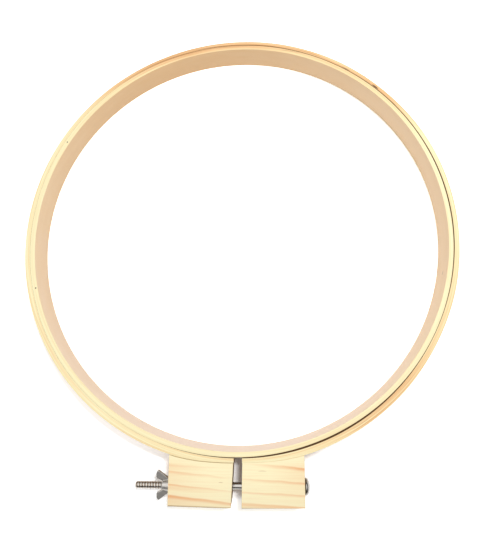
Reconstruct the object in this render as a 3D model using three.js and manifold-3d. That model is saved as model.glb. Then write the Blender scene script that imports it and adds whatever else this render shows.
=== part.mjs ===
// Embroidery hoop: two bentwood rings, the outer one split and drawn together by a bolt through two blocks.
// Millimetres, +Z up. It lies flat on z = 0, with the origin under the middle of its bounding box.
import * as THREE from "three";
import { mergeVertices } from "three/addons/utils/BufferGeometryUtils.js";
import Module from "manifold-3d";

// Rings: bent strips on edge, one inside the other
const INNER_RADIUS = 177.8; // clear radius of the working area, for a 14 inch hoop
const INNER_WALL = 4.1;
const RING_CLEARANCE = 0.45; // room for the cloth, all round
const OUTER_WALL = 4.2;
const HOOP_HEIGHT = 22.6;
const RING_ARRIS = 0.45; // rounding of the strips' long edges
const RING_STEPS = 144; // facets round each ring
const INNER_RING_LEAN = 0.5; // share of the clearance by which the inner ring lies off centre
const INNER_RING_LEAN_ANGLE = 155; // degrees from +X, the side where the rings touch

// Gap and clamp blocks: left is -X, the wing nut's side, and right is +X, the bolt head's side
const RING_GAP = 6.4; // between the outer ring's two ends
const LEFT_BLOCK = { side: -1, setback: 0.35, width: 49.8, gapSplay: 2.5, sideSplay: 0.5, endSlope: 1.0 };
const RIGHT_BLOCK = { side: 1, setback: 0.2, width: 48.2, gapSplay: -0.4, sideSplay: 0.8, endSlope: 0.8 };
const BLOCK_DEPTH = 32.0; // from the ring's outside to the block's far end, at the gap
const BLOCK_ARRIS = 0.4;
const GLUE_LINE = 0.3; // between the ring's outside and the block's hollow face

// Carriage bolt
const BOLT_REACH = 19.0; // from the ring's outside to the bolt's axis
const BOLT_PROJECTION = 27.9; // thread that stands out of the left block, through the nut
const THREAD_DIAMETER = 5.8;
const THREAD_LENGTH = 36.0;
const SHANK_DIAMETER = 5.3;
const HEAD_DIAMETER = 13.3;
const HEAD_UNDERSIDE = 1.2; // how far the head's underside tapers before its rim
const HEAD_RIM = 0.4;
const HEAD_DOME = 3.1;
const NECK_WIDTH = 5.8; // square neck that keeps the bolt from turning in the wood
const NECK_LENGTH = 3.0;
const BOLT_HOLE_CLEARANCE = 0.35; // round the thread, in both blocks
const NECK_CLEARANCE = 0.3;
const SEAT_GAP = 0.3; // under the bolt head and under the nut

// Wing nut
const HUB_LENGTH = 6.6;
const HUB_BASE_RADIUS = 4.8;
const HUB_TOP_RADIUS = 3.9;
const HUB_CHAMFER = 0.4;
const THREAD_CLEARANCE = 0.12;
const WING_REACH = 12.3; // from the axis to a wing's outermost corner, before it is rounded
const WING_HEIGHT = 11.2; // from the base to the wings' end edge
const WING_FOOT = 0.35; // from the base to where the wings begin
const WING_SLOPE = 38; // degrees by which the wings' outer edge leans out of the axis
const WING_END = { inner: 5.8, outer: 10.4 }; // the end edge, by its corners' distance from the axis
const WING_ROUND = 1.1; // how far from a corner its rounding begins
const WING_THICKNESS = 2.2;
const WING_ARRIS = 0.5;
const NUT_TURN = 12; // degrees by which the wings stand out of the hoop's plane

// Sizes that follow from the ones above
const innerRingOutside = INNER_RADIUS + INNER_WALL;
const outerRingInside = innerRingOutside + RING_CLEARANCE;
const outerRingOutside = outerRingInside + OUTER_WALL;
const seatRadius = outerRingOutside + GLUE_LINE;
const boltOffset = outerRingOutside + BOLT_REACH;
const middle = HOOP_HEIGHT / 2;
const threadRadius = THREAD_DIAMETER / 2;
const boltHoleRadius = threadRadius + BOLT_HOLE_CLEARANCE;
const degrees = THREE.MathUtils.degToRad;

const wasm = await Module();
wasm.setup();

/** Turn a closed three.js geometry into a solid that can be joined and cut. */
function toSolid(geometry) {
  const bare = geometry.clone();
  bare.deleteAttribute("normal");
  bare.deleteAttribute("uv");
  const merged = mergeVertices(bare, 1e-4);
  const index = merged.index.array;
  const triangles = [];
  for (let i = 0; i < index.length; i += 3) {
    const [a, b, c] = [index[i], index[i + 1], index[i + 2]];
    if (a !== b && b !== c && c !== a) triangles.push(a, b, c);
  }
  return new wasm.Manifold(
    new wasm.Mesh({
      numProp: 3,
      vertProperties: new Float32Array(merged.attributes.position.array),
      triVerts: new Uint32Array(triangles),
    }),
  );
}

/** Turn a solid back into a three.js geometry. */
function toGeometry(solid) {
  const mesh = solid.getMesh();
  const geometry = new THREE.BufferGeometry();
  geometry.setAttribute("position", new THREE.BufferAttribute(new Float32Array(mesh.vertProperties), 3));
  geometry.setIndex(new THREE.BufferAttribute(new Uint32Array(mesh.triVerts), 1));
  geometry.computeVertexNormals();
  return geometry;
}

/** Revolve a profile of [radius, height] points about +Z. */
function revolve(profile, steps) {
  const points = profile.map(([radius, height]) => new THREE.Vector2(radius, height));
  return new THREE.LatheGeometry(points, steps).rotateX(Math.PI / 2);
}

/** Profile of a strip on edge, its four long edges rounded, closed on itself. */
function stripProfile(inside, outside) {
  const arris = Math.min(RING_ARRIS, (outside - inside) / 3, HOOP_HEIGHT / 3);
  const corners = [
    [outside - arris, arris, -90],
    [outside - arris, HOOP_HEIGHT - arris, 0],
    [inside + arris, HOOP_HEIGHT - arris, 90],
    [inside + arris, arris, 180],
  ];
  const profile = [];
  for (const [radius, height, start] of corners) {
    for (const turn of [0, 45, 90]) {
      const angle = degrees(start + turn);
      profile.push([radius + arris * Math.cos(angle), height + arris * Math.sin(angle)]);
    }
  }
  profile.push(profile[0]);
  return profile;
}

/** Point where a block's leaning face, counted from the ring's outside, meets the hollow seat. */
function meetSeat(offset, splay) {
  const slope = Math.tan(degrees(splay));
  const start = offset - slope * outerRingOutside;
  const scale = 1 + slope * slope;
  const root = Math.sqrt((slope * start) ** 2 - scale * (start ** 2 - seatRadius ** 2));
  const down = (root - slope * start) / scale;
  return [start + slope * down, down];
}

/** Corners of one block as [across, down] from the ring's centre, before it is mirrored to its side. */
function blockCorners(block) {
  const gapFace = RING_GAP / 2 + block.setback;
  const gapSlope = Math.tan(degrees(block.gapSplay));
  const sideSlope = Math.tan(degrees(block.sideSplay));
  const endSlope = Math.tan(degrees(block.endSlope));
  const gapReach = BLOCK_DEPTH / (1 + gapSlope * endSlope);
  const sideReach = (BLOCK_DEPTH - block.width * endSlope) / (1 + sideSlope * endSlope);
  return {
    gapSeat: meetSeat(gapFace, block.gapSplay),
    gapEnd: [gapFace + gapReach * gapSlope, outerRingOutside + gapReach],
    sideEnd: [gapFace + block.width + sideReach * sideSlope, outerRingOutside + sideReach],
    sideSeat: meetSeat(gapFace + block.width, block.sideSplay),
  };
}

/** Distance from the middle of the gap to a block's outer side, at the height of the bolt. */
function blockSide(block) {
  const lean = BOLT_REACH * Math.tan(degrees(block.sideSplay));
  return RING_GAP / 2 + block.setback + block.width + lean;
}

const boltLength = blockSide(RIGHT_BLOCK) + SEAT_GAP + blockSide(LEFT_BLOCK) + BOLT_PROJECTION;

/** Solid of one block: hollowed to the ring's curve, arrises broken, drilled for the bolt. */
function blockSolid(block) {
  const { gapSeat, gapEnd, sideEnd, sideSeat } = blockCorners(block);
  const angleOf = ([across, down]) => Math.atan2(-down, block.side * across);
  const outline = new THREE.Shape();
  outline.moveTo(block.side * gapSeat[0], -gapSeat[1]);
  outline.lineTo(block.side * gapEnd[0], -gapEnd[1]);
  outline.lineTo(block.side * sideEnd[0], -sideEnd[1]);
  outline.lineTo(block.side * sideSeat[0], -sideSeat[1]);
  outline.absarc(0, 0, seatRadius, angleOf(sideSeat), angleOf(gapSeat), block.side > 0);
  const body = new THREE.ExtrudeGeometry(outline, {
    depth: HOOP_HEIGHT - 2 * BLOCK_ARRIS,
    bevelThickness: BLOCK_ARRIS,
    bevelSize: BLOCK_ARRIS,
    bevelOffset: -BLOCK_ARRIS,
    bevelSegments: 2,
    curveSegments: 8,
  }).translate(0, 0, BLOCK_ARRIS);
  const drill = new THREE.CylinderGeometry(boltHoleRadius, boltHoleRadius, 3 * block.width, 32)
    .rotateZ(Math.PI / 2)
    .translate(block.side * block.width, -boltOffset, middle);
  return toSolid(body).subtract(toSolid(drill));
}

/** Square recess in a block's outer side that holds the bolt's neck. */
function neckRecess(block) {
  const width = NECK_WIDTH + 2 * NECK_CLEARANCE;
  const depth = NECK_LENGTH + NECK_CLEARANCE;
  const recess = new THREE.BoxGeometry(2 * depth, width, width);
  return toSolid(recess.translate(block.side * blockSide(block), -boltOffset, middle));
}

/** Outer ring: a full strip sawn through at the gap. */
function outerRingGeometry() {
  const strip = revolve(stripProfile(outerRingInside, outerRingOutside), RING_STEPS);
  const saw = new THREE.BoxGeometry(RING_GAP, 4 * OUTER_WALL, 2 * HOOP_HEIGHT);
  saw.translate(0, -(outerRingInside + outerRingOutside) / 2, middle);
  return toGeometry(toSolid(strip).subtract(toSolid(saw)));
}

/** Bolt along +Z: its seat at 0, the head below it, the square neck, shank and thread above. */
function boltGeometry() {
  const dome = [];
  const headRadius = HEAD_DIAMETER / 2;
  for (let step = 0; step <= 8; step += 1) {
    const angle = degrees(90 * (step / 8));
    dome.push([headRadius * Math.sin(angle), -HEAD_UNDERSIDE - HEAD_RIM - HEAD_DOME * Math.cos(angle)]);
  }
  dome[0][0] = 0;
  const shankRadius = SHANK_DIAMETER / 2;
  const threadStart = boltLength - THREAD_LENGTH;
  const taper = threadRadius - shankRadius;
  const profile = [
    ...dome,
    [headRadius, -HEAD_UNDERSIDE],
    [headRadius / 2, 0],
    [shankRadius, 0],
    [shankRadius, threadStart - taper],
    [threadRadius, threadStart],
    [threadRadius, boltLength - 0.3 * threadRadius],
    [0.7 * threadRadius, boltLength],
    [0, boltLength],
  ];
  const neckRoot = HEAD_UNDERSIDE + HEAD_RIM; // how far the neck reaches into the head
  const neck = new THREE.BoxGeometry(NECK_WIDTH, NECK_WIDTH, NECK_LENGTH + neckRoot);
  neck.translate(0, 0, (NECK_LENGTH - neckRoot) / 2);
  return toGeometry(toSolid(revolve(profile, 40)).add(toSolid(neck)));
}

/** Closed outline through corners, of which those marked with a rounding are drawn as curves. */
function roundedOutline(corners) {
  const outline = new THREE.Shape();
  corners.forEach(({ at: [x, y], round = 0 }, index) => {
    const corner = new THREE.Vector2(x, y);
    const before = new THREE.Vector2(...corners.at(index - 1).at);
    const after = new THREE.Vector2(...corners[(index + 1) % corners.length].at);
    const start = before.sub(corner).setLength(round).add(corner);
    const end = after.sub(corner).setLength(round).add(corner);
    if (index === 0) outline.moveTo(x, y);
    else outline.lineTo(start.x, start.y);
    if (round > 0) outline.quadraticCurveTo(x, y, end.x, end.y);
  });
  outline.closePath();
  return outline;
}

/** One wing in the XZ plane: a broad leaf that leans out of the hub, with round corners and edges. */
function wingSolid(side) {
  const footReach = HUB_BASE_RADIUS + 0.2;
  const tipHeight = WING_FOOT + (WING_REACH - footReach) / Math.tan(degrees(WING_SLOPE));
  const outline = roundedOutline([
    { at: [HUB_TOP_RADIUS - 1, 1] },
    { at: [footReach, WING_FOOT] },
    { at: [WING_REACH, tipHeight], round: WING_ROUND },
    { at: [WING_END.outer, WING_HEIGHT], round: WING_ROUND },
    { at: [WING_END.inner, WING_HEIGHT], round: WING_ROUND },
    { at: [HUB_TOP_RADIUS - 0.8, HUB_LENGTH - 1.4] },
  ]);
  const arris = Math.min(WING_ARRIS, 0.45 * WING_THICKNESS);
  const blade = new THREE.ExtrudeGeometry(outline, {
    depth: WING_THICKNESS - 2 * arris,
    bevelThickness: arris,
    bevelSize: arris,
    bevelOffset: -arris,
    bevelSegments: 3,
    curveSegments: 4,
  });
  blade.translate(0, 0, arris - WING_THICKNESS / 2).rotateX(Math.PI / 2);
  if (side < 0) blade.rotateZ(Math.PI);
  return toSolid(blade);
}

/** Wing nut along +Z: its base at 0, a tapered hub with a threaded hole, and two wings in the XZ plane. */
function wingNutGeometry() {
  const hole = threadRadius + THREAD_CLEARANCE;
  const profile = [
    [0, 0],
    [HUB_BASE_RADIUS - HUB_CHAMFER, 0],
    [HUB_BASE_RADIUS, HUB_CHAMFER],
    [HUB_TOP_RADIUS, HUB_LENGTH - HUB_CHAMFER],
    [HUB_TOP_RADIUS - HUB_CHAMFER, HUB_LENGTH],
    [0, HUB_LENGTH],
  ];
  const tapProfile = [
    [0, -1],
    [hole + HUB_CHAMFER + 1, -1],
    [hole, HUB_CHAMFER],
    [hole, HUB_LENGTH - HUB_CHAMFER],
    [hole + HUB_CHAMFER + 1, HUB_LENGTH + 1],
    [hole + HUB_CHAMFER + 1, 2 * HUB_LENGTH],
    [0, 2 * HUB_LENGTH],
  ];
  const casting = toSolid(revolve(profile, 40)).add(wingSolid(1)).add(wingSolid(-1));
  return toGeometry(casting.subtract(toSolid(revolve(tapProfile, 40))));
}

const wood = (color) => new THREE.MeshStandardMaterial({ color, roughness: 0.62, metalness: 0 });
const steel = (color, roughness) => new THREE.MeshStandardMaterial({ color, roughness, metalness: 1 });

/** Add one named piece to a group. */
function place(group, name, geometry, material) {
  const mesh = new THREE.Mesh(geometry, material);
  mesh.name = name;
  group.add(mesh);
  return mesh;
}

const hoop = new THREE.Group();
const blockReach = Math.max(blockCorners(LEFT_BLOCK).gapEnd[1], blockCorners(RIGHT_BLOCK).gapEnd[1]);
hoop.position.y = (blockReach - outerRingOutside) / 2;

place(hoop, "outer_ring", outerRingGeometry(), wood("#f0d6a2"));
place(hoop, "left_clamp_block", toGeometry(blockSolid(LEFT_BLOCK)), wood("#f8e3b2"));
const rightBlock = blockSolid(RIGHT_BLOCK).subtract(neckRecess(RIGHT_BLOCK));
place(hoop, "right_clamp_block", toGeometry(rightBlock), wood("#f8e3b2"));

const innerStrip = revolve(stripProfile(INNER_RADIUS, innerRingOutside), RING_STEPS);
const innerRing = place(hoop, "inner_ring", innerStrip, wood("#e8c79c"));
const lean = degrees(INNER_RING_LEAN_ANGLE);
innerRing.position.set(Math.cos(lean), Math.sin(lean), 0).multiplyScalar(INNER_RING_LEAN * RING_CLEARANCE);

// The hardware is made along +Z and laid so that +Z points to -X, out of the left block
const outOfLeft = new THREE.Matrix4().makeBasis(
  new THREE.Vector3(0, 1, 0),
  new THREE.Vector3(0, 0, -1),
  new THREE.Vector3(-1, 0, 0),
);
const bolt = place(hoop, "clamp_bolt", boltGeometry(), steel("#a9a9a6", 0.3));
bolt.setRotationFromMatrix(outOfLeft);
bolt.position.set(blockSide(RIGHT_BLOCK) + SEAT_GAP, -boltOffset, middle);

const wingNut = place(hoop, "wing_nut", wingNutGeometry(), steel("#8f8c88", 0.45));
wingNut.setRotationFromMatrix(outOfLeft);
wingNut.rotateZ(-degrees(NUT_TURN));
wingNut.position.set(-blockSide(LEFT_BLOCK) - SEAT_GAP, -boltOffset, middle);

export default hoop;
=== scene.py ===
"""Embroidery hoop: finish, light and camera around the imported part, in the part's own frame."""

from __future__ import annotations

import logging
import math
from collections.abc import Callable, Iterable
from dataclasses import dataclass
from enum import Enum

import bmesh
import bpy
from bpy.types import Material, Node, NodeSocket, NodeTree, Object
from mathutils import Matrix, Vector

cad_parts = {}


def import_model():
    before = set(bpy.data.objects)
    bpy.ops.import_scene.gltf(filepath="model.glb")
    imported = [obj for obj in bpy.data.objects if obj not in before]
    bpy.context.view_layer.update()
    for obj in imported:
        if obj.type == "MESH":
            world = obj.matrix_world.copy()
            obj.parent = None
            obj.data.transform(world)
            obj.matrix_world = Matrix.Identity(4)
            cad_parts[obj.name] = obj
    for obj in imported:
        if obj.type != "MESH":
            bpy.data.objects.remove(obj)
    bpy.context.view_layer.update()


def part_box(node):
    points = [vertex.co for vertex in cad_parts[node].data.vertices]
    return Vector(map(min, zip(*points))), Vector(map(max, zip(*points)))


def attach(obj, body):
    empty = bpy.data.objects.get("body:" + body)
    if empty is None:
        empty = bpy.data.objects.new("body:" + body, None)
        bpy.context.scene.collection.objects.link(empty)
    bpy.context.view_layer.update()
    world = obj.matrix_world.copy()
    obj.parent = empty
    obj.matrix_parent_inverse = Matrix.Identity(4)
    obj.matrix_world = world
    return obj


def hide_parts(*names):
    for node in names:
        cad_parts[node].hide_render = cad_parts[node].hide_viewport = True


LOG = logging.getLogger("embroidery_hoop")
MM = 0.001


class Body(Enum):
    """The bodies of the part, by the names that its joints use."""

    OUTER_HOOP = "outer_hoop"
    INNER_HOOP = "inner_hoop"
    BOLT = "bolt"
    NUT = "nut"


class Side(Enum):
    """The two sides of the gap, as the sign of X."""

    LEFT = -1
    RIGHT = 1


def linear(colour: str) -> tuple[float, float, float, float]:
    """Turn an sRGB hex colour into the linear values that a shader reads.

    Args:
        colour: A colour such as "#f0d6a2".

    Returns:
        Red, green and blue in linear light, and an alpha of 1.
    """
    parts = [int(colour[i : i + 2], 16) / 255 for i in (1, 3, 5)]
    red, green, blue = (p / 12.92 if p <= 0.04045 else ((p + 0.055) / 1.055) ** 2.4 for p in parts)
    return red, green, blue, 1.0


def feed(node: Node, inputs: dict[int | str, object]) -> None:
    """Give a node its values and links.

    Args:
        node: The node.
        inputs: A value, a socket or a whole node for each input, by place or by name.
    """
    for key, value in inputs.items():
        named = (s for s in node.inputs if s.enabled and s.name == key)
        socket = node.inputs[key] if isinstance(key, int) else next(named)
        if isinstance(value, Node):
            value = next(s for s in value.outputs if s.enabled)
        if isinstance(value, NodeSocket):
            node.id_data.links.new(value, socket)
        else:
            socket.default_value = value


def add_node(
    tree: NodeTree,
    kind: str,
    inputs: dict[int | str, object] | None = None,
    ramp: Iterable[tuple[float, str]] = (),
    **settings: object,
) -> Node:
    """Add one node to a tree, with its settings, values and links.

    Args:
        tree: The material's or world's node tree.
        kind: The node's type name, without "ShaderNode".
        inputs: What each input gets, as in feed().
        ramp: Stops of a colour ramp, as (place, sRGB hex colour).
        **settings: The node's own properties.

    Returns:
        The new node, whose first live output a later node can take by naming the node.
    """
    node = tree.nodes.new("ShaderNode" + kind)
    for key, setting in settings.items():
        setattr(node, key, setting)
    stops = list(ramp)
    for place, (position, colour) in enumerate(stops):
        elements = node.color_ramp.elements
        stop = elements[place] if place < 2 else elements.new(position)
        stop.position, stop.color = position, linear(colour)
    feed(node, inputs or {})
    return node


def calc(operation: str, value: Node | NodeSocket, *others: object) -> Node:
    """Add a Math node.

    Args:
        operation: The node's operation.
        value: Node or socket that gives the first operand.
        *others: A number, a socket or a node for each further operand.

    Returns:
        The new node.
    """
    return add_node(value.id_data, "Math", dict(enumerate((value, *others))), operation=operation)


def mapped(
    value: Node | NodeSocket,
    span: tuple[float, float],
    levels: tuple[float, float] = (0.0, 1.0),
    smooth: bool = False,
) -> Node:
    """Map a value from one span to another, held at both ends.

    Args:
        value: Node or socket that gives the value.
        span: Values at which the map starts and ends.
        levels: Results at those two values.
        smooth: Whether the map eases in and out.

    Returns:
        The new node.
    """
    (low, high), (start, end) = span, levels
    inputs = {"Value": value, "From Min": low, "From Max": high, "To Min": start, "To Max": end}
    kind = "SMOOTHSTEP" if smooth else "LINEAR"
    return add_node(value.id_data, "MapRange", inputs, interpolation_type=kind)


def mix(share: Node | NodeSocket, first: object, second: object) -> NodeSocket:
    """Mix two colours.

    Args:
        share: Node or socket that gives the second colour's share.
        first: First colour, as an sRGB hex colour, a socket or a node.
        second: Second colour, in the same ways.

    Returns:
        Socket that gives the mixed colour.
    """
    first, second = (linear(c) if isinstance(c, str) else c for c in (first, second))
    inputs = {"Factor": share, "A": first, "B": second}
    return add_node(share.id_data, "Mix", inputs, data_type="RGBA").outputs[2]


def new_material(name: str) -> tuple[Material, NodeTree, Node]:
    """Make an empty material with one Principled BSDF wired to its output.

    Args:
        name: The material's name.

    Returns:
        The material, its node tree and its Principled BSDF.
    """
    material = bpy.data.materials.new(name)
    material.use_nodes = True
    tree = material.node_tree
    tree.nodes.clear()
    shader = add_node(tree, "BsdfPrincipled")
    add_node(tree, "OutputMaterial", {"Surface": shader})
    return material, tree, shader


def round_off(
    bm: bmesh.types.BMesh, geom: list, offset: float, segments: int, affect: str = "EDGES"
) -> None:
    """Round edges or corners of a mesh.

    Args:
        bm: The mesh.
        geom: The edges, or the corners.
        offset: How far the rounding reaches, in metres.
        segments: Steps of the rounding.
        affect: "EDGES" or "VERTICES".
    """
    bmesh.ops.bevel(
        bm, geom=geom, affect=affect, offset=offset, segments=segments, profile=0.5, material=-1
    )


def lift(bm: bmesh.types.BMesh, faces: list[bmesh.types.BMFace], height: float) -> None:
    """Raise flat faces into a closed body.

    Args:
        bm: The mesh.
        faces: The flat faces.
        height: How far they are raised, in metres.
    """
    raised = bmesh.ops.extrude_face_region(bm, geom=faces)["geom"]
    tops = [v for v in raised if isinstance(v, bmesh.types.BMVert)]
    bmesh.ops.translate(bm, verts=tops, vec=(0, 0, height))
    bmesh.ops.recalc_face_normals(bm, faces=bm.faces)


def make_object(bm: bmesh.types.BMesh, name: str, crease: float = 32) -> Object:
    """Turn a bmesh into an object at the origin, smooth except at its real edges.

    Args:
        bm: The finished mesh, which is freed.
        name: The piece's name.
        crease: Angle in degrees above which an edge stays sharp.

    Returns:
        The new object, linked to the scene.
    """
    bmesh.ops.recalc_face_normals(bm, faces=bm.faces)
    mesh = bpy.data.meshes.new(name)
    bm.to_mesh(mesh)
    bm.free()
    mesh.polygons.foreach_set("use_smooth", [True] * len(mesh.polygons))
    mesh.set_sharp_from_angle(angle=math.radians(crease))
    piece = bpy.data.objects.new(name, mesh)
    bpy.context.scene.collection.objects.link(piece)
    return piece


def settle(piece: Object, crease: float = 32) -> Object:
    """Apply a piece's modifiers to its mesh.

    Args:
        piece: An object with modifiers.
        crease: Angle in degrees above which an edge stays sharp.

    Returns:
        The same object, with the result as its mesh.
    """
    graph = bpy.context.evaluated_depsgraph_get()
    mesh = bpy.data.meshes.new_from_object(piece.evaluated_get(graph))
    piece.modifiers.clear()
    old, piece.data = piece.data, mesh
    bpy.data.meshes.remove(old)
    mesh.name = piece.name
    mesh.polygons.foreach_set("use_smooth", [True] * len(mesh.polygons))
    mesh.set_sharp_from_angle(angle=math.radians(crease))
    return piece


def cut(piece: Object, tools: Iterable[Object], join: bool = False) -> Object:
    """Cut tools out of a piece, or join them to it, and remove the tools.

    Args:
        piece: The object to work on.
        tools: Closed objects that cut it or join it.
        join: Whether the tools are joined on.

    Returns:
        The same object, with its new mesh.
    """
    spent = list(tools)
    for tool in spent:
        step = piece.modifiers.new("tool", "BOOLEAN")
        step.operation = "UNION" if join else "DIFFERENCE"
        step.solver = "EXACT"
        step.object = tool
    settle(piece)
    for tool in spent:
        bpy.data.objects.remove(tool)
    return piece


def turned(
    profile: list[tuple[float, float]], axis_point: Vector, name: str, steps: int = 64
) -> Object:
    """Turn a closed body about a line along X.

    Args:
        profile: Points (x, radius) in metres, from one end on the axis to the other.
        axis_point: A point on the axis.
        name: The object's name.
        steps: Facets round the axis.

    Returns:
        The turned object.
    """
    bm = bmesh.new()
    verts = [bm.verts.new((x, axis_point.y, axis_point.z + radius)) for x, radius in profile]
    edges = [bm.edges.new(pair) for pair in zip(verts, verts[1:])]
    bmesh.ops.spin(
        bm, geom=verts + edges, cent=axis_point, axis=(1, 0, 0), angle=math.tau, steps=steps, use_merge=True
    )
    bmesh.ops.remove_doubles(bm, verts=bm.verts, dist=1e-6)
    return make_object(bm, name)


def wear(piece: Object, material: Material, body: Body, node: str) -> None:
    """Dress a piece and tie it to the part.

    Args:
        piece: The finished object.
        material: Its finish.
        body: The body that it moves with.
        node: The plain solid that it stands for.
    """
    piece.data.materials.clear()
    piece.data.materials.append(material)
    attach(piece, body.value)
    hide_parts(node)
    LOG.info("%s: %d faces, rides on %s", piece.name, len(piece.data.polygons), body.value)


@dataclass(frozen=True)
class Zone:
    """A stretch of a ring around one direction, strongest in its middle and fading to both ends."""

    angle: float
    spread: float
    amount: float

    def at(self, direction: float) -> float:
        """Work out the zone's amount in one direction.

        Args:
            direction: Degrees round the rings' centre from +X.

        Returns:
            The amount there.
        """
        off = abs((direction - self.angle + 180) % 360 - 180) / self.spread
        share = max(1 - off, 0.0)
        return self.amount * share * share * (3 - 2 * share)

    def mask(self, angle: Node, turn: float) -> Node:
        """Draw the same zone in a material.

        Args:
            angle: Node that gives the direction in radians.
            turn: Direction in degrees that this angle starts from.

        Returns:
            Node that gives the zone's amount.
        """
        middle = math.radians(self.angle - turn)
        off = calc("SUBTRACT", angle, middle)
        wrapped = calc("WRAP", off, math.pi, -math.pi)
        away = calc("ABSOLUTE", wrapped)
        return mapped(away, (0.0, math.radians(self.spread)), (self.amount, 0.0), smooth=True)


@dataclass(frozen=True)
class Mark:
    """A short dark fleck, dash or joint line, long along the wood and narrow across it."""

    along: float
    across_mm: float
    length_mm: float
    width_mm: float
    strength: float
    lean: float = 0.0

    def mask(self, along: Node, across: Node | NodeSocket) -> Node:
        """Draw the mark as a soft oval.

        Args:
            along: Node that gives metres along the wood from the mark.
            across: Node or socket that gives metres across the wood.

        Returns:
            Node that gives the mark's strength.
        """
        rise = calc("MULTIPLY_ADD", along, -self.lean, across)
        off = calc("SUBTRACT", rise, self.across_mm * MM)
        wide = calc("DIVIDE", off, self.width_mm / 2 * MM)
        long = calc("DIVIDE", along, self.length_mm / 2 * MM)
        tree = along.id_data
        oval = add_node(tree, "CombineXYZ", {0: long, 1: wide})
        reach = add_node(tree, "VectorMath", {0: oval}, operation="LENGTH").outputs["Value"]
        return mapped(reach, (0.6, 1.1), (self.strength, 0.0), smooth=True)


def total(parts: Iterable[Node], start: float = 0.0) -> object:
    """Add up the outputs of several nodes.

    Args:
        parts: Nodes whose first outputs are added.
        start: Amount to start from.

    Returns:
        The last node of the sum, or the start amount if there are no parts.
    """
    level: object = start
    for part in parts:
        level = calc("ADD", part, level)
    return level


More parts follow.
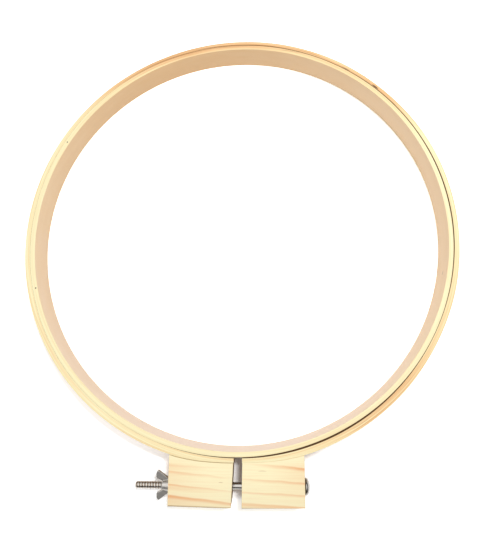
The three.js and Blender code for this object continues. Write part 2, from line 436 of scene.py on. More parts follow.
@dataclass(frozen=True)
class BentwoodFinish:
    """Steam-bent hardwood strip, sanded and left clear.

    The eye sees the strip's layers as fine streaks that run round its sawn edges, pale yellow with
    orange stretches of late wood, and a smooth wide face that goes from tan to a pinkish cream, with
    painted shade making it deeper tan at the top and painted sheen making it pinker at the bottom.
    On the outer ring, painted shade turns the inside face in the slit between the rings brown.
    """

    name: str
    centre: Vector
    seam: float
    late_wood: tuple[Zone, ...]
    edge_marks: tuple[Mark, ...] = ()
    face_marks: tuple[Mark, ...] = ()
    pale: str = "#fdf3c6"
    cream: str = "#f9e3b0"
    orange: str = "#eec08a"
    brown: str = "#c08a58"
    face_pink: str = "#f2dac3"
    face_tan: str = "#efd0a8"
    face_shaded: str = "#e4bd8c"
    # Painted shade makes the walls at the top a deeper tan, and painted sheen makes those at the bottom
    # pinker
    face_light_and_shade: tuple[Zone, ...] = (Zone(108, 75, 0.5), Zone(262, 95, -0.5))
    mark_colour: str = "#4a3420"
    layer_mm: float = 0.9
    streak_mm: float = 80.0
    streak_height_mm: float = 16.0
    mean_radius_mm: float = 182.0
    grain_strength: float = 0.62
    late_radius_mm: float = 182.6
    late_spread_mm: float = 5.0
    # Brown painted shade on the inside face within this radius, in the slit between the rings
    slit_shade: str = "#9c7650"
    slit_shade_within_mm: float = 0.0
    roughness: float = 0.5

    def marks(
        self, marks: tuple[Mark, ...], angle: Node, across: Node | NodeSocket, turn: float
    ) -> object:
        """Draw marks that are placed by their direction round the ring.

        Args:
            marks: The marks, whose place along the wood is a direction in degrees.
            angle: Node that gives the direction in radians.
            across: Node or socket that gives metres across the wood.
            turn: Direction in degrees that this angle starts from.

        Returns:
            Node that gives the marks' strength.
        """
        masks = []
        for mark in marks:
            off = calc("SUBTRACT", angle, math.radians(mark.along - turn))
            wrapped = calc("WRAP", off, math.pi, -math.pi)
            along = calc("MULTIPLY", wrapped, self.mean_radius_mm * MM)
            masks.append(mark.mask(along, across))
        return total(masks)

    def material(self) -> Material:
        """Build the finish.

        Returns:
            The material.
        """
        material, tree, shader = new_material(self.name)
        turn = self.seam + 180
        place = add_node(tree, "TexCoord").outputs["Object"]
        moved = add_node(tree, "VectorMath", {0: place, 1: self.centre}, operation="SUBTRACT")
        spun = add_node(
            tree, "VectorRotate", {"Vector": moved, "Angle": -math.radians(turn)}, rotation_type="Z_AXIS"
        )
        axes = add_node(tree, "SeparateXYZ", {0: spun})
        flat = add_node(tree, "CombineXYZ", {0: axes.outputs[0], 1: axes.outputs[1]})
        radius = add_node(tree, "VectorMath", {0: flat}, operation="LENGTH").outputs["Value"]
        angle = calc("ARCTAN2", axes.outputs[1], axes.outputs[0])

        layers = calc("DIVIDE", radius, self.layer_mm * MM)
        along = calc("MULTIPLY", angle, self.mean_radius_mm / self.streak_mm)
        up = calc("DIVIDE", axes.outputs[2], self.streak_height_mm * MM)
        strip = add_node(tree, "CombineXYZ", {0: layers, 1: along, 2: up})
        grain = add_node(
            tree, "TexNoise", {"Vector": strip, "Scale": 1.0, "Detail": 3.0, "Roughness": 0.6}
        )
        fine = mapped(grain, (0.3, 0.75), (0.0, self.grain_strength))
        late = total([zone.mask(angle, turn) for zone in self.late_wood])
        off_line = calc("SUBTRACT", radius, self.late_radius_mm * MM)
        from_line = calc("ABSOLUTE", off_line)
        near = mapped(from_line, (0.0, self.late_spread_mm * MM), (1.0, 0.35))
        deep = calc("MULTIPLY_ADD", late, near, fine)
        edge = add_node(
            tree,
            "ValToRGB",
            {0: deep},
            ramp=((0.08, self.pale), (1.0, self.brown), (0.36, self.cream), (0.72, self.orange)),
        )

        blotch = add_node(
            tree,
            "TexNoise",
            {"Vector": add_node(tree, "CombineXYZ", {1: along, 2: up}), "Scale": 3.0, "Detail": 4.0},
        )
        # Painted shade and painted sheen: the face goes deeper tan at the top walls and pinker at the bottom
        # ones
        shade_level = total([zone.mask(angle, turn) for zone in self.face_light_and_shade], 0.5)
        shift = mapped(blotch, (0.0, 1.0), (-0.15, 0.15))
        tan = add_node(tree, "Math", {0: shade_level, 1: shift}, operation="ADD", use_clamp=True)
        face = add_node(
            tree,
            "ValToRGB",
            {0: tan},
            ramp=((0.0, self.face_pink), (1.0, self.face_shaded), (0.5, self.face_tan)),
        )

        # Painted shade: the outer ring's inside face, in the slit between the rings, is coloured brown so
        # that the slit reads dark
        rough = calc("LESS_THAN", radius, self.slit_shade_within_mm * MM)
        face = mix(rough, face, self.slit_shade)

        normal = add_node(tree, "SeparateXYZ", {0: add_node(tree, "NewGeometry").outputs["Normal"]})
        upright = calc("ABSOLUTE", normal.outputs[2])
        on_edge = mapped(upright, (0.25, 0.7))
        colour = mix(on_edge, face, edge)
        edge_spots = self.marks(self.edge_marks, angle, radius, turn)
        face_spots = self.marks(self.face_marks, angle, axes.outputs[2], turn)
        spots = add_node(tree, "Mix", {"Factor": on_edge, "A": face_spots, "B": edge_spots})
        marked = mix(spots, colour, self.mark_colour)
        bump = add_node(tree, "Bump", {"Height": grain, "Strength": 0.12, "Distance": 0.05 * MM})
        feed(shader, {"Base Color": marked, "Roughness": self.roughness, "Normal": bump})
        return material


@dataclass(frozen=True)
class GrowthLine:
    """One line of late wood, by its depth from the ring at a block's left and right side."""

    left_mm: float
    right_mm: float
    width_mm: float
    left_strength: float
    right_strength: float


@dataclass(frozen=True)
class PineFinish:
    """Planed pine block: cream early wood with orange-pink lines of late wood.

    Each line starts quickly on the ring's side and fades slowly away from it. The sawn ends are brown,
    and painted shade draws a thin brown line along the lower edge.
    """

    name: str
    lines: tuple[GrowthLine, ...]
    dashes: tuple[Mark, ...]
    left_side: Vector
    width_mm: float
    edge_mm: tuple[float, float]
    early: str = "#fef2c8"
    shade: str = "#f8dfae"
    late: str = "#eeae78"
    dash_colour: str = "#a8703c"
    # Brown of the sawn ends, also used for the painted shade line along the lower edge
    end_grain_and_edge_shade: str = "#a58862"
    # Below the top face the lines come nearer to the ring by this share of the height
    lean: float = 0.35
    roughness: float = 0.55

    def material(self) -> Material:
        """Build the finish.

        Returns:
            The material.
        """
        material, tree, shader = new_material(self.name)
        place = add_node(tree, "TexCoord").outputs["Object"]
        moved = add_node(tree, "VectorMath", {0: place, 1: self.left_side}, operation="SUBTRACT")
        axes = add_node(tree, "SeparateXYZ", {0: moved})
        wobble = add_node(tree, "TexNoise", {"Vector": moved, "Scale": 45.0, "Detail": 2.0})
        sway = calc("MULTIPLY_ADD", wobble, 2.0 * MM, -1.0 * MM)
        across = calc("MULTIPLY_ADD", axes.outputs[2], -self.lean, sway)
        depth = calc("SUBTRACT", across, axes.outputs[1])
        masks = []
        for line in self.lines:
            slope = (line.right_mm - line.left_mm) / self.width_mm
            lean = calc("MULTIPLY_ADD", axes.outputs[0], -slope, depth)
            away = calc("SUBTRACT", lean, line.left_mm * MM)
            scaled = calc("DIVIDE", away, line.width_mm * MM)
            rise = mapped(scaled, (-0.6, 0.2), smooth=True)
            fall = mapped(scaled, (0.2, 2.2), (1.0, 0.0), smooth=True)
            levels = (line.left_strength, line.right_strength)
            strength = mapped(axes.outputs[0], (0.0, self.width_mm * MM), levels)
            both = calc("MULTIPLY", rise, fall)
            masks.append(calc("MULTIPLY", both, strength))
        late = total(masks)
        stretched = add_node(
            tree,
            "Mapping",
            {"Vector": moved, "Scale": (25.0, 900.0, 300.0), "Rotation": (0.0, 0.0, 0.07)},
        )
        fibre = add_node(
            tree, "TexNoise", {"Vector": stretched, "Scale": 1.0, "Detail": 3.0, "Roughness": 0.6}
        )
        soft = mapped(fibre, (0.4, 0.75), (0.0, 0.5))
        ground = mix(soft, self.early, self.shade)
        wood = mix(late, ground, self.late)
        dashes = []
        for dash in self.dashes:
            along = calc("SUBTRACT", axes.outputs[0], dash.along * MM)
            dashes.append(dash.mask(along, depth))
        colour = mix(total(dashes), wood, self.dash_colour)
        # The sawn ends drink the light and look brown, and painted shade draws a thin brown line along the
        # lower edge
        normal = add_node(tree, "SeparateXYZ", {0: add_node(tree, "NewGeometry").outputs["Normal"]})
        facing = calc("ABSOLUTE", normal.outputs[0])
        ends = mapped(facing, (0.8, 0.95))
        near, far = self.edge_mm
        slant = calc("MULTIPLY_ADD", axes.outputs[0], (near - far) / self.width_mm, near * -MM)
        inward = calc("SUBTRACT", axes.outputs[1], slant)
        # Painted shade: a thin brown line along the top face's lower edge
        edge_shade = mapped(inward, (0.3 * MM, 0.9 * MM), (0.8, 0.0))
        upward = mapped(normal.outputs[2], (0.1, 0.3))
        edge = calc("MULTIPLY", edge_shade, upward)
        sawn = calc("MAXIMUM", ends, edge)
        colour = mix(sawn, colour, self.end_grain_and_edge_shade)
        bump = add_node(tree, "Bump", {"Height": fibre, "Strength": 0.1, "Distance": 0.04 * MM})
        feed(shader, {"Base Color": colour, "Roughness": self.roughness, "Normal": bump})
        return material


@dataclass(frozen=True)
class SteelFinish:
    """Plated steel: a grey metal whose fine scratches break up its reflections.

    On a thread, painted shade darkens the metal to a brownish grey towards the bottom of the grooves, and
    the crests keep the metal's own colour.
    """

    name: str
    colour: str
    roughness: float
    scratch_mm: float = 0.15
    bump: float = 0.15
    groove_shade: str = "#96897b"
    groove_mm: tuple[float, float] | None = None
    axis: Vector | None = None

    def material(self) -> Material:
        """Build the finish.

        Returns:
            The material.
        """
        material, tree, shader = new_material(self.name)
        place = add_node(tree, "TexCoord").outputs["Object"]
        speckle = add_node(
            tree, "TexNoise", {"Vector": place, "Scale": 1 / (self.scratch_mm * MM), "Detail": 2.0}
        )
        cloud = add_node(tree, "TexNoise", {"Vector": place, "Scale": 400.0, "Detail": 2.0})
        rough = mapped(cloud, (0.0, 1.0), (self.roughness - 0.08, self.roughness + 0.1))
        bump = add_node(tree, "Bump", {"Height": speckle, "Strength": self.bump, "Distance": 0.03 * MM})
        look = {"Base Color": linear(self.colour), "Metallic": 1.0, "Roughness": rough, "Normal": bump}
        feed(shader, look)
        if self.groove_mm and self.axis:
            self.shade_grooves(shader, place)
        return material

    def shade_grooves(self, shader: Node, place: NodeSocket) -> None:
        """Paint shade on the metal towards the bottom of the thread's grooves.

        Args:
            shader: The material's Principled BSDF.
            place: Socket that gives the point on the piece.
        """
        tree = shader.id_data
        bottom, crest = self.groove_mm
        off = add_node(tree, "VectorMath", {0: place, 1: self.axis}, operation="SUBTRACT")
        across = add_node(tree, "VectorMath", {0: off, 1: (0.0, 1.0, 1.0)}, operation="MULTIPLY")
        radius = add_node(tree, "VectorMath", {0: across}, operation="LENGTH").outputs["Value"]
        # Painted shade: brownish grey at the groove bottoms, the metal's own colour at the crests
        unshaded = mapped(radius, (bottom * MM, crest * MM), smooth=True)
        colour = mix(unshaded, self.groove_shade, self.colour)
        feed(shader, {"Base Color": colour})


@dataclass(frozen=True)
class HoopShape:
    """Where the faces of the two rings lie, in millimetres from the rings' centre.

    The bent strips have settled slightly oval. They press together on the left and stand apart on
    the right, where the dark line between them shows. The outer strip hangs towards the blocks, and is
    sanded flat in places, most of all where the blocks are glued on.
    """

    inside_mm: float
    split_mm: float
    outside_mm: float
    oval_mm: float = 1.15
    oval_direction: float = 50.0
    closed_gap_mm: float = 0.04
    open_gap: tuple[Zone, ...] = (Zone(293, 46, 1.4), Zone(12, 60, 0.95), Zone(75, 45, 0.4))
    sag_mm: float = 0.95
    sag_direction: float = 300.0
    outer_spread_mm: float = 0.2
    outer_flats: tuple[Zone, ...] = (
        Zone(0, 35, -0.5),
        Zone(45, 22, -0.5),
        Zone(110, 30, -0.25),
        Zone(270, 17, -1.8),
        Zone(330, 18, -0.5),
    )

    def settled(self, direction: float) -> tuple[float, float]:
        """Give what the oval adds to every radius, and the gap between the rings.

        Args:
            direction: Degrees round the rings' centre from +X.

        Returns:
            The two lengths in millimetres.
        """
        oval = self.oval_mm * math.cos(2 * math.radians(direction - self.oval_direction))
        return oval, self.closed_gap_mm + sum(zone.at(direction) for zone in self.open_gap)

    def inner_ring(self, direction: float) -> tuple[float, float]:
        """Give the inner ring's inside and outside radius.

        Args:
            direction: Degrees round the rings' centre from +X.

        Returns:
            The two radii in millimetres.
        """
        oval, gap = self.settled(direction)
        return self.inside_mm + oval, self.split_mm + oval - gap / 2

    def outer_ring(self, direction: float) -> tuple[float, float]:
        """Give the outer ring's inside and outside radius.

        Args:
            direction: Degrees round the rings' centre from +X.

        Returns:
            The two radii in millimetres.
        """
        oval, gap = self.settled(direction)
        sag = self.sag_mm * math.cos(math.radians(direction - self.sag_direction))
        bow = self.outer_spread_mm + sag + sum(zone.at(direction) for zone in self.outer_flats)
        return self.inner_ring(direction)[1] + gap, self.outside_mm + oval + bow


@dataclass
class RingStrip:
    """One bent strip on edge, standing for a ring of the part."""

    name: str
    node: str
    body: Body
    slot: str
    centre: Vector
    faces: Callable[[float], tuple[float, float]]
    height: float
    finish: BentwoodFinish
    gap_mm: float = 0.0
    arris_mm: float = 0.22
    radius_mm: float = 180.0
    thickness_mm: float = 4.2
    steps: int = 720

    def build(self) -> Object:
        """Round the strip's section, bend it round and let it settle out of true.

        Returns:
            The strip.
        """
        bm = bmesh.new()
        low, high = self.radius_mm * MM, (self.radius_mm + self.thickness_mm) * MM
        corners = [(low, 0.0), (high, 0.0), (high, self.height), (low, self.height)]
        section = bm.faces.new([bm.verts.new((radius, 0.0, z)) for radius, z in corners])
        round_off(bm, list(section.verts), self.arris_mm * MM, 4, "VERTICES")
        bmesh.ops.delete(bm, geom=list(bm.faces), context="FACES_ONLY")
        half_gap = math.asin(self.gap_mm / 2 / self.radius_mm)
        start = Matrix.Rotation(half_gap - math.pi / 2, 3, "Z")
        bmesh.ops.rotate(bm, verts=bm.verts, cent=(0, 0, 0), matrix=start)
        bmesh.ops.spin(
            bm,
            geom=list(bm.verts) + list(bm.edges),
            cent=(0, 0, 0),
            axis=(0, 0, 1),
            angle=math.tau - 2 * half_gap,
            steps=self.steps,
            use_merge=self.gap_mm == 0,
        )
        bmesh.ops.remove_doubles(bm, verts=bm.verts, dist=1e-6)
        if self.gap_mm:
            bmesh.ops.holes_fill(bm, edges=[e for e in bm.edges if e.is_boundary], sides=0)
        for vert in bm.verts:
            flat = Vector((vert.co.x, vert.co.y, 0))
            share = (flat.length - low) / (high - low)
            direction = math.degrees(math.atan2(flat.y, flat.x))
            inside, outside = self.faces(direction)
            radius = (inside + share * (outside - inside)) * MM
            vert.co = flat.normalized() * radius + Vector((0, 0, vert.co.z))
        bmesh.ops.translate(bm, verts=bm.verts, vec=self.centre)
        return make_object(bm, self.name)

    def dress(self, strip: Object) -> None:
        """Give the strip its finish and its place on the part.

        Args:
            strip: What build() made.
        """
        wear(strip, self.finish.material(), self.body, self.node)


@dataclass
class ClampBlock:
    """One wooden block, hollowed to the ring's curve and drilled for the bolt."""

    side: Side
    centre: Vector
    ring_outside_mm: float
    ring_faces: Callable[[float], tuple[float, float]]
    height: float
    bolt_axis: Vector
    gap_face_mm: float
    width_mm: float
    gap_splay: float
    side_splay: float
    end_slope: float
    finish: PineFinish
    depth_mm: float = 32.0
    glue_mm: float = 0.06
    arris_mm: float = 0.35
    bore_mm: float = 6.5
    bolt_depth_mm: float = 19.0
    neck_mm: float = 0.0
    neck_depth_mm: float = 6.6
    seat_steps: int = 24

    def outline(self) -> list[tuple[float, float]]:
        """Work out the block's outline from its faces.

        Returns:
            Points (x, y) from the ring's centre in millimetres, round the block.
        """
        slopes = (self.gap_splay, self.side_splay, self.end_slope)
        gap, side, end = (math.tan(math.radians(slope)) for slope in slopes)
        gap_reach = self.depth_mm / (1 + gap * end)
        side_reach = (self.depth_mm - self.width_mm * end) / (1 + side * end)
        far = self.gap_face_mm + self.width_mm
        first = math.asin(self.gap_face_mm / self.ring_outside_mm)
        last = math.asin(far / self.ring_outside_mm)
        points = [
            (self.gap_face_mm + gap_reach * gap, -self.ring_outside_mm - gap_reach),
            (far + side_reach * side, -self.ring_outside_mm - side_reach),
        ]
        for step in range(self.seat_steps + 1):
            angle = last + (first - last) * step / self.seat_steps
            direction = 270 + self.side.value * math.degrees(angle)
            seat = self.ring_faces(direction)[1] + self.glue_mm
            points.append((seat * math.sin(angle), -seat * math.cos(angle)))
        return [(self.side.value * x, y) for x, y in points]

    def build(self) -> Object:
        """Saw the block to its outline, break its edges and drill it.

        Returns:
            The block.
        """
        bm = bmesh.new()
        base = bm.faces.new([bm.verts.new((x * MM, y * MM, 0)) for x, y in self.outline()])
        lift(bm, [base], self.height)
        sharp = [e for e in bm.edges if e.calc_face_angle(0) > math.radians(30)]
        round_off(bm, sharp, self.arris_mm * MM, 3)
        bmesh.ops.translate(bm, verts=bm.verts, vec=self.centre)
        name = f"{self.side.name.lower()}_block_wood"
        block = make_object(bm, name)
        reach = 3 * self.width_mm * MM
        radius = self.bore_mm / 2 * MM
        drill = turned([(-reach, 0), (-reach, radius), (reach, radius), (reach, 0)], self.bolt_axis, "drill")
        tools = [drill]
        if self.neck_mm:
            tools.append(self.mortise())
        return cut(block, tools)

    def mortise(self) -> Object:
        """Make the tool that cuts the square recess for the bolt's neck.

        Returns:
            The tool.
        """
        bm = bmesh.new()
        bmesh.ops.create_cube(bm, size=1.0)
        depth, width = self.neck_depth_mm * MM, self.neck_mm * MM
        bmesh.ops.scale(bm, verts=bm.verts, vec=(depth, width, width))
        lean = self.bolt_depth_mm * math.tan(math.radians(self.side_splay))
        face = self.side.value * (self.gap_face_mm + self.width_mm + lean) * MM
        bmesh.ops.translate(bm, verts=bm.verts, vec=(face, self.bolt_axis.y, self.bolt_axis.z))
        return make_object(bm, "mortise_tool")

    def dress(self, block: Object) -> None:
        """Give the block its finish and its place on the part.

        Args:
            block: What build() made.
        """
        node = f"{self.side.name.lower()}_clamp_block"
        wear(block, self.finish.material(), Body.OUTER_HOOP, node)


@dataclass
class CarriageBolt:
    """Domed bolt with a square neck, a plain shank and a rolled thread, lying along X."""

    axis: Vector
    seat_x: float
    end_x: float
    head_mm: float = 12.9
    underside_mm: float = 1.2
    rim_mm: float = 0.4
    dome_mm: float = 3.1
    neck_mm: float = 5.8
    neck_length_mm: float = 3.0
    neck_arris_mm: float = 0.3
    overlap_mm: float = 0.4
    shank_mm: float = 5.3
    crest_mm: float = 5.8
    root_mm: float = 4.85
    thread_length_mm: float = 36.0
    covered_mm: float = 30.0
    tip_share: float = 0.7
    # The real ridges are 1 mm apart, finer than the picture's grain; they are drawn coarser to show
    pitch_mm: float = 2.16
    steps_a_turn: int = 32
    dome_steps: int = 16

    def body(self) -> Object:
        """Turn the head and the shank, and join the square neck on.

        Returns:
            The bolt without its thread.
        """
        head, seat = self.head_mm / 2 * MM, self.seat_x
        rim = seat + (self.underside_mm + self.rim_mm) * MM
        profile = []
        for step in range(self.dome_steps + 1):
            angle = math.pi / 2 * step / self.dome_steps
            profile.append((rim + self.dome_mm * MM * math.cos(angle), head * math.sin(angle)))
        profile += [
            (seat + self.underside_mm * MM, head),
            (seat, head / 2),
            (seat, self.shank_mm / 2 * MM),
            (self.end_x + self.covered_mm * MM, self.shank_mm / 2 * MM),
            (self.end_x + self.covered_mm * MM, 0.0),
        ]
        bolt = turned(profile, self.axis, "bolt_head_and_shank", steps=96)
        bm = bmesh.new()
        bmesh.ops.create_cube(bm, size=1.0)
        length = (self.neck_length_mm + self.overlap_mm) * MM
        bmesh.ops.scale(bm, verts=bm.verts, vec=(length, self.neck_mm * MM, self.neck_mm * MM))
        round_off(bm, list(bm.edges), self.neck_arris_mm * MM, 2)
        middle = seat + self.overlap_mm * MM - length / 2
        bmesh.ops.translate(bm, verts=bm.verts, vec=(middle, self.axis.y, self.axis.z))
        return cut(bolt, [make_object(bm, "neck")], join=True)

    def thread(self) -> Object:
        """Sweep one ridge along the screw line, trim both ends and chamfer the tip.

        Returns:
            The threaded end.
        """
        bm = bmesh.new()
        pitch = self.pitch_mm * MM
        crest, root = self.crest_mm / 2 * MM, self.root_mm / 2 * MM
        shape = [(0.0, root), (0.2, root), (0.33, crest), (0.67, crest), (0.8, root), (1.0, root)]
        start = self.end_x + self.thread_length_mm * MM + 2 * pitch
        verts = [bm.verts.new((start - share * pitch, self.axis.y, self.axis.z + r)) for share, r in shape]
        edges = [bm.edges.new(pair) for pair in zip(verts, verts[1:])]
        turns = int(self.thread_length_mm / self.pitch_mm) + 4
        steps = turns * self.steps_a_turn
        bmesh.ops.spin(
            bm,
            geom=verts + edges,
            cent=self.axis,
            axis=(-1, 0, 0),
            dvec=(-pitch / self.steps_a_turn, 0, 0),
            angle=math.tau * turns,
            steps=steps,
            use_merge=False,
        )
        bmesh.ops.remove_doubles(bm, verts=bm.verts, dist=2e-6)
        for x, outward in ((self.end_x, -1), (self.end_x + self.thread_length_mm * MM, 1)):
            geom = list(bm.verts) + list(bm.edges) + list(bm.faces)
            bmesh.ops.bisect_plane(
                bm, geom=geom, plane_co=(x, 0, 0), plane_no=(outward, 0, 0), clear_outer=True
            )
        bmesh.ops.remove_doubles(bm, verts=bm.verts, dist=2e-6)
        bmesh.ops.holes_fill(bm, edges=[e for e in bm.edges if e.is_boundary], sides=0)
        for vert in bm.verts:
            from_end = vert.co.x - self.end_x
            offset = Vector((0, vert.co.y - self.axis.y, vert.co.z - self.axis.z))
            limit = self.tip_share * crest + from_end
            if offset.length > limit:
                vert.co -= offset.normalized() * (offset.length - limit)
        return make_object(bm, "bolt_thread", crease=25)

    def build(self) -> list[Object]:
        """Make the bolt's two pieces.

        Returns:
            The body and the thread.
        """
        return [self.body(), self.thread()]

    def dress(self, pieces: list[Object]) -> None:
        """Give the bolt its finish and its place on the part.

        Args:
            pieces: What build() made.
        """
        body, thread = pieces
        plain = SteelFinish("zinc_plated_steel_bolt", "#b4b0aa", 0.22)
        groove = (self.root_mm / 2 + 0.05, self.crest_mm / 2 - 0.05)
        rolled = SteelFinish("zinc_plated_steel_thread", "#c9c4bc", 0.26, groove_mm=groove, axis=self.axis)
        wear(body, plain.material(), Body.BOLT, "clamp_bolt")
        wear(thread, rolled.material(), Body.BOLT, "clamp_bolt")


@dataclass
class WingNut:
    """Cast wing nut: a tapered hub and two broad wings that lean out of it."""

    axis: Vector
    base_x: float
    turn: float = math.radians(12)
    hub_mm: float = 6.6
    base_radius_mm: float = 4.8
    top_radius_mm: float = 3.9
    chamfer_mm: float = 0.4
    hole_mm: float = 6.04
    reach_mm: float = 12.3
    height_mm: float = 11.2
    foot_mm: float = 0.35
    slope: float = math.radians(38)
    end_mm: tuple[float, float] = (5.8, 10.4)
    round_mm: float = 1.1
    thickness_mm: float = 2.2
    arris_mm: float = 0.5
    voxel_mm: float = 0.12

    def wing_outline(self) -> list[tuple[float, float]]:
        """Work out a wing's corners.

        Returns:
            Points (height over the base, distance from the axis) in millimetres.
        """
        # The first and the last corner lie inside the hub
        foot = self.base_radius_mm + 0.2
        tip = self.foot_mm + (self.reach_mm - foot) / math.tan(self.slope)
        inner, outer = self.end_mm
        return [
            (1.0, self.top_radius_mm - 1.0),
            (self.foot_mm, foot),
            (tip, self.reach_mm),
            (self.height_mm, outer),
            (self.height_mm, inner),
            (self.hub_mm - 1.4, self.top_radius_mm - 0.8),
        ]

    def wing(self, side: int) -> Object:
        """Make one wing in the plane of X and Y.

        Args:
            side: 1 towards +Y, -1 towards -Y.

        Returns:
            The wing.
        """
        bm = bmesh.new()
        low = -self.thickness_mm / 2 * MM
        verts = [bm.verts.new((-up * MM, side * out * MM, low)) for up, out in self.wing_outline()]
        bm.faces.new(verts)
        round_off(bm, verts[2:5], self.round_mm * MM, 8, "VERTICES")
        lift(bm, list(bm.faces), self.thickness_mm * MM)
        rims = [e for e in bm.edges if e.calc_face_angle(0) > math.radians(60)]
        round_off(bm, rims, self.arris_mm * MM, 3)
        return make_object(bm, "wing")

    def build(self) -> Object:
        """Join the hub and the wings, melt them into one casting and tap the hole.

        Returns:
            The nut.
        """
        origin = Vector((0, 0, 0))
        base, top, hub = self.base_radius_mm * MM, self.top_radius_mm * MM, self.hub_mm * MM
        chamfer = self.chamfer_mm * MM
        cone = [
            (0, 0),
            (0, base - chamfer),
            (-chamfer, base),
            (chamfer - hub, top),
            (-hub, top - chamfer),
            (-hub, 0),
        ]
        nut = turned(cone, origin, "wing_nut_casting")
        cut(nut, [self.wing(1), self.wing(-1)], join=True)
        melt = nut.modifiers.new("melt", "REMESH")
        melt.mode = "VOXEL"
        melt.voxel_size = self.voxel_mm * MM
        soften = nut.modifiers.new("soften", "SMOOTH")
        soften.factor = 0.5
        soften.iterations = 6
        settle(nut, crease=40)
        hole = self.hole_mm / 2 * MM
        reach = 2 * hub
        tap = turned([(-reach, 0), (-reach, hole), (reach, hole), (reach, 0)], origin, "tap")
        cut(nut, [tap])
        place = Matrix.Translation((self.base_x, self.axis.y, self.axis.z))
        nut.data.transform(place @ Matrix.Rotation(self.turn, 4, "X"))
        return nut

    def dress(self, nut: Object) -> None:
        """Give the nut its finish and its place on the part.

        Args:
            nut: What build() made.
        """
        finish = SteelFinish("zinc_plated_casting_nut", "#c4c0ba", 0.4, scratch_mm=0.3, bump=0.25)
        wear(nut, finish.material(), Body.NUT, "wing_nut")


@dataclass
class Studio:
    """White table, a lamp above the upper right, a weaker one above the lower left, a room, a camera."""

    camera_place: tuple[float, float, float] = (0.01568, -0.08364, 0.37354)
    right: tuple[float, float, float] = (0.99979, 0.00683, -0.01926)
    up: tuple[float, float, float] = (-0.00300, 0.98133, 0.19232)
    lens_mm: float = 28.485
    room_level: float = 0.48
    ceiling_middle: tuple[float, float, float] = (-0.2, 0.2, 0.955)
    lamp_watts: float = 4.0
    lamp_place: tuple[float, float, float] = (0.184, 0.170, 0.80)
    lamp_size: tuple[float, float] = (0.24, 0.10)
    lamp_turn: float = math.radians(-32)
    fill_watts: float = 1.2
    fill_place: tuple[float, float, float] = (-0.50, -0.26, 0.80)
    fill_size: float = 0.3
    table_colour: str = "#ededed"
    # The table is seen at this many times its own brightness, so that only deep shadow shows on it
    table_seen: float = 1.85

    def camera(self) -> None:
        """Stand the camera where the photograph was taken from."""
        data = bpy.data.cameras.new("camera")
        data.lens = self.lens_mm
        data.sensor_width = 36.0
        data.sensor_fit = "AUTO"
        data.clip_start = 0.01
        camera = bpy.data.objects.new("camera", data)
        right = Vector(self.right).normalized()
        up = (Vector(self.up) - right * right.dot(Vector(self.up))).normalized()
        turn = Matrix((right, up, right.cross(up))).transposed()
        camera.matrix_world = Matrix.Translation(self.camera_place) @ turn.to_4x4()
        bpy.context.scene.collection.objects.link(camera)
        bpy.context.scene.camera = camera

    def seen(self, tree: NodeTree) -> Node:
        """Tell the rays that look at a surface from those that light others.

        Args:
            tree: The node tree.

        Returns:
            Node that gives 1 for camera, glossy and transmission rays, otherwise 0.
        """
        path = add_node(tree, "LightPath").outputs
        looks = calc("MAXIMUM", path["Is Camera Ray"], path["Is Glossy Ray"])
        return calc("MAXIMUM", looks, path["Is Transmission Ray"])

    def table(self) -> None:
        """Lay a white table that keeps only the hoop's deep shadow."""
        bm = bmesh.new()
        bmesh.ops.create_grid(bm, x_segments=8, y_segments=8, size=3.0)
        table = make_object(bm, "table_top")
        material = bpy.data.materials.new("white_table_laminate")
        material.use_nodes = True
        tree = material.node_tree
        tree.nodes.clear()
        white = linear(self.table_colour)
        bright = [channel * self.table_seen for channel in white[:3]] + [1.0]
        board = add_node(tree, "BsdfDiffuse", {"Color": white})
        seen = add_node(tree, "BsdfDiffuse", {"Color": bright})
        both = add_node(tree, "MixShader", {0: self.seen(tree), 1: board, 2: seen})
        add_node(tree, "OutputMaterial", {"Surface": both})
        table.data.materials.append(material)

    def room(self) -> None:
        """Light the hoop from all round; white at the horizon, grey walls and a bright ceiling show."""
        world = bpy.data.worlds.new("pale_room")
        bpy.context.scene.world = world
        world.use_nodes = True
        tree = world.node_tree
        tree.nodes.clear()
        direction = add_node(tree, "TexCoord").outputs["Generated"]
        aim = add_node(tree, "VectorMath", {0: direction, 1: self.ceiling_middle}, operation="DOT_PRODUCT")
        ceiling = mapped(aim.outputs["Value"], (0.66, 0.9), (0.1, 1.7), smooth=True)
        height = add_node(tree, "SeparateXYZ", {0: direction}).outputs[2]
        sweep = mapped(height, (0.1, 0.3), (1.0, 0.0), smooth=True)
        shown = calc("MAXIMUM", ceiling, sweep)
        strength = add_node(tree, "Mix", {"Factor": self.seen(tree), "A": self.room_level, "B": shown})
        light = add_node(tree, "Background", {"Color": linear("#ffffff"), "Strength": strength})
        add_node(tree, "OutputWorld", {"Surface": light})

    def lamps(self) -> None:
        """Hang an oval lamp above the hoop's upper right and a round, weaker one at the lower left."""
        turn = Matrix.Rotation(self.lamp_turn, 4, "Z")
        aim = Vector(self.fill_place).to_track_quat("Z", "Y").to_matrix().to_4x4()
        disk = (self.fill_size, self.fill_size)
        for name, shape, size, watts, place, facing in (
            ("key_lamp", "ELLIPSE", self.lamp_size, self.lamp_watts, self.lamp_place, turn),
            ("fill_lamp", "DISK", disk, self.fill_watts, self.fill_place, aim),
        ):
            data = bpy.data.lights.new(name, "AREA")
            data.shape = shape
            data.size, data.size_y = size
            data.energy = watts
            lamp = bpy.data.objects.new(name, data)
            lamp.matrix_world = Matrix.Translation(place) @ facing
            # The metal shows the room instead of the lamps, which would be glaring points on it
            lamp.visible_glossy = False
            bpy.context.scene.collection.objects.link(lamp)

    def build(self) -> None:
        """Set up the camera, the table and the light."""
        self.camera()
        self.table()
        self.room()
        self.lamps()
        bpy.context.scene.view_settings.view_transform = "Standard"


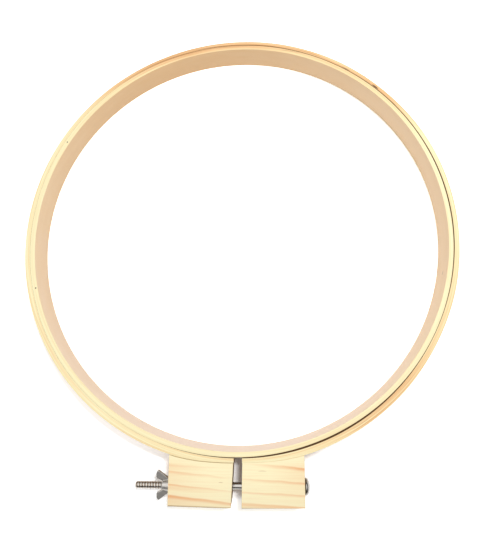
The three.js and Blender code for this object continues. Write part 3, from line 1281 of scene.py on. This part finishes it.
def inner_finish(centre: Vector) -> BentwoodFinish:
    """Describe the inner ring's wood, whose joint lies at the top.

    Args:
        centre: The rings' centre.

    Returns:
        The finish.
    """
    return BentwoodFinish(
        "steam_bent_beech_inner",
        centre,
        seam=74,
        late_wood=(Zone(102, 58, 0.85), Zone(50, 40, 0.25), Zone(308, 40, 0.14)),
        edge_marks=(
            Mark(152, 178.9, 1.5, 1.5, 0.8),
            Mark(196, 179.9, 1.4, 1.5, 0.9),
            Mark(76, 181.2, 26, 0.5, 0.45, lean=-0.07),
            Mark(335, 181.0, 3.0, 0.8, 0.3),
        ),
        face_marks=(
            Mark(349, 12.8, 4.5, 0.9, 0.55, lean=0.25),
            Mark(243, 4.5, 3.0, 2.0, 0.25),
        ),
        grain_strength=0.42,
    )


def outer_finish(centre: Vector) -> BentwoodFinish:
    """Describe the outer ring's wood, with more late wood and a few dark streaks.

    Args:
        centre: The rings' centre.

    Returns:
        The finish.
    """
    return BentwoodFinish(
        "steam_bent_beech_outer",
        centre,
        seam=-90,
        late_wood=(Zone(82, 72, 0.75), Zone(125, 28, 0.28), Zone(45, 18, 0.3), Zone(312, 48, 0.38)),
        edge_marks=(
            Mark(58.5, 184.0, 9.0, 0.9, 0.55),
            Mark(48.5, 184.4, 7.5, 1.4, 0.95),
            Mark(301.5, 183.7, 17.0, 0.4, 0.35),
        ),
        slit_shade_within_mm=184.0,
    )


def pine_finishes(centre: Vector, ring_outside_mm: float, height: float) -> dict[Side, PineFinish]:
    """Describe the two blocks' wood, each with its own growth lines.

    Args:
        centre: The rings' centre.
        ring_outside_mm: Radius that the lines' depths are measured from.
        height: The blocks' height.

    Returns:
        The finish of each side's block.
    """
    left_side = centre + Vector((-53.2 * MM, -ring_outside_mm * MM, height))
    left = PineFinish(
        "planed_pine_left",
        (
            GrowthLine(1.2, 3.6, 1.5, 0.3, 0.0),
            GrowthLine(6.1, 10.3, 1.1, 0.42, 0.2),
            GrowthLine(15.4, 19.6, 0.9, 0.6, 0.3),
            GrowthLine(17.4, 21.0, 1.4, 0.25, 0.05),
            GrowthLine(23.2, 28.2, 1.3, 0.65, 0.6),
            GrowthLine(24.2, 29.0, 5.0, 0.3, 0.05),
            GrowthLine(3.0, 5.0, 15.0, 0.2, -0.16),
        ),
        (Mark(40.2, 13.4, 4.0, 0.5, 0.5, lean=0.05),),
        left_side,
        width_mm=48.2,
        edge_mm=(30.8, 31.9),
    )
    right_side = centre + Vector((3.5 * MM, -ring_outside_mm * MM, height))
    right = PineFinish(
        "planed_pine_right",
        (
            GrowthLine(-0.9, 2.9, 1.4, 0.0, 0.75),
            GrowthLine(10.9, 13.1, 1.0, 0.4, 0.5),
            GrowthLine(20.2, 22.1, 0.9, 0.45, 0.45),
            GrowthLine(28.1, 30.7, 1.8, 0.5, 0.65),
            GrowthLine(3.0, 3.0, 15.0, -0.16, 0.22),
        ),
        (Mark(15.6, 5.2, 7.5, 0.5, 0.45, lean=-0.01),),
        right_side,
        width_mm=48.2,
        edge_mm=(32.0, 32.0),
    )
    return {Side.LEFT: left, Side.RIGHT: right}


def main() -> None:
    """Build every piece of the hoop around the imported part."""
    logging.basicConfig(level=logging.INFO, format="%(message)s")
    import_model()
    Studio().build()

    low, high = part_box("outer_ring")
    height = high.z - low.z
    ring_outside = high.x / MM
    centre = Vector((0.0, high.y - high.x, 0.0))
    shape = HoopShape(
        inside_mm=ring_outside - 8.75, split_mm=ring_outside - 4.45, outside_mm=ring_outside - 0.05
    )
    strips = [
        RingStrip(
            "outer_ring_strip",
            "outer_ring",
            Body.OUTER_HOOP,
            "bentwood_outer",
            centre,
            shape.outer_ring,
            height,
            outer_finish(centre),
            gap_mm=6.4,
        ),
        RingStrip(
            "inner_ring_strip",
            "inner_ring",
            Body.INNER_HOOP,
            "bentwood_inner",
            centre,
            shape.inner_ring,
            height,
            inner_finish(centre),
        ),
    ]
    for strip in strips:
        strip.dress(strip.build())

    bolt_low, bolt_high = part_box("clamp_bolt")
    axis = Vector((0.0, (bolt_low.y + bolt_high.y) / 2, height / 2))
    finishes = pine_finishes(centre, ring_outside, height)
    common = (centre, ring_outside, shape.outer_ring, height, axis)
    blocks = [
        ClampBlock(
            Side.LEFT,
            *common,
            gap_face_mm=3.55,
            width_mm=49.8,
            gap_splay=2.5,
            side_splay=0.5,
            end_slope=1.0,
            finish=finishes[Side.LEFT],
            glue_mm=0.45,
        ),
        ClampBlock(
            Side.RIGHT,
            *common,
            gap_face_mm=3.4,
            width_mm=48.2,
            gap_splay=-0.4,
            side_splay=0.8,
            end_slope=0.8,
            finish=finishes[Side.RIGHT],
            neck_mm=6.4,
        ),
    ]
    for block in blocks:
        block.dress(block.build())

    head_height = 4.7 * MM
    bolt = CarriageBolt(axis, seat_x=bolt_high.x - head_height, end_x=bolt_low.x)
    bolt.dress(bolt.build())
    nut = WingNut(axis, base_x=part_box("wing_nut")[1].x)
    nut.dress(nut.build())


if __name__ == "__main__":
    main()
